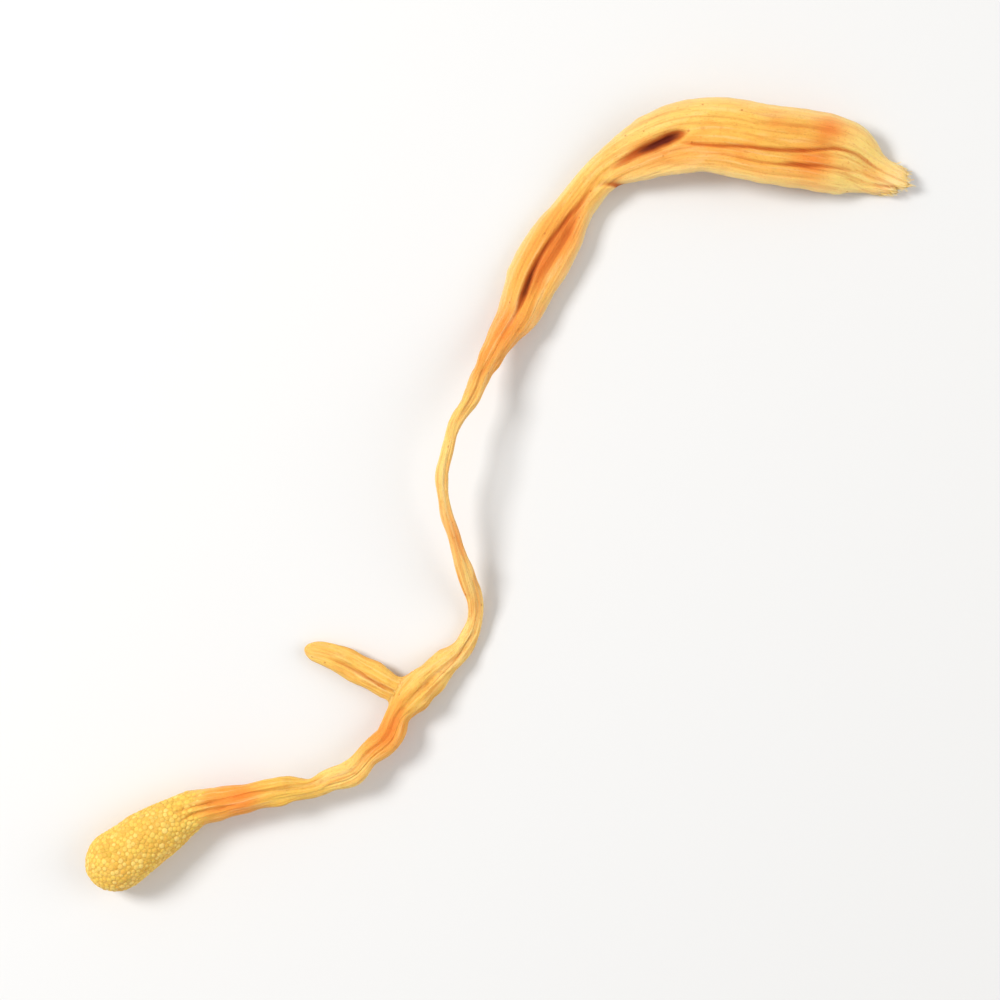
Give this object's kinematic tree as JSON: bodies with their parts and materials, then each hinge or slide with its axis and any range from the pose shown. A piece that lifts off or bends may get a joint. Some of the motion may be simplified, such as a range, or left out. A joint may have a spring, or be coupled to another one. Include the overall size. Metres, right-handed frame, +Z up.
{
  "type": "dried cordyceps fruiting body",
  "caption": "One dried cordyceps fruiting body: a grainy golden club head on a thin winding stem that widens to a furrowed ribbon with a torn base, lying on its side.",
  "frame": {"origin": "centre of the bounding box in plan, at the height of the surface that the body lies on", "axes": "+X along the body from the club head towards the torn base, +Z up"},
  "size_m": [0.066, 0.0182, 0.0039],
  "materials": {
    "dried_fungus": "dry, leathery golden-orange flesh, wrinkled lengthwise, grainy on the club head, darker orange in the furrows and pale cream at the torn base"
  },
  "bodies": {
    "root": {"fruiting_body": "dried_fungus"}
  },
  "joints": []
}
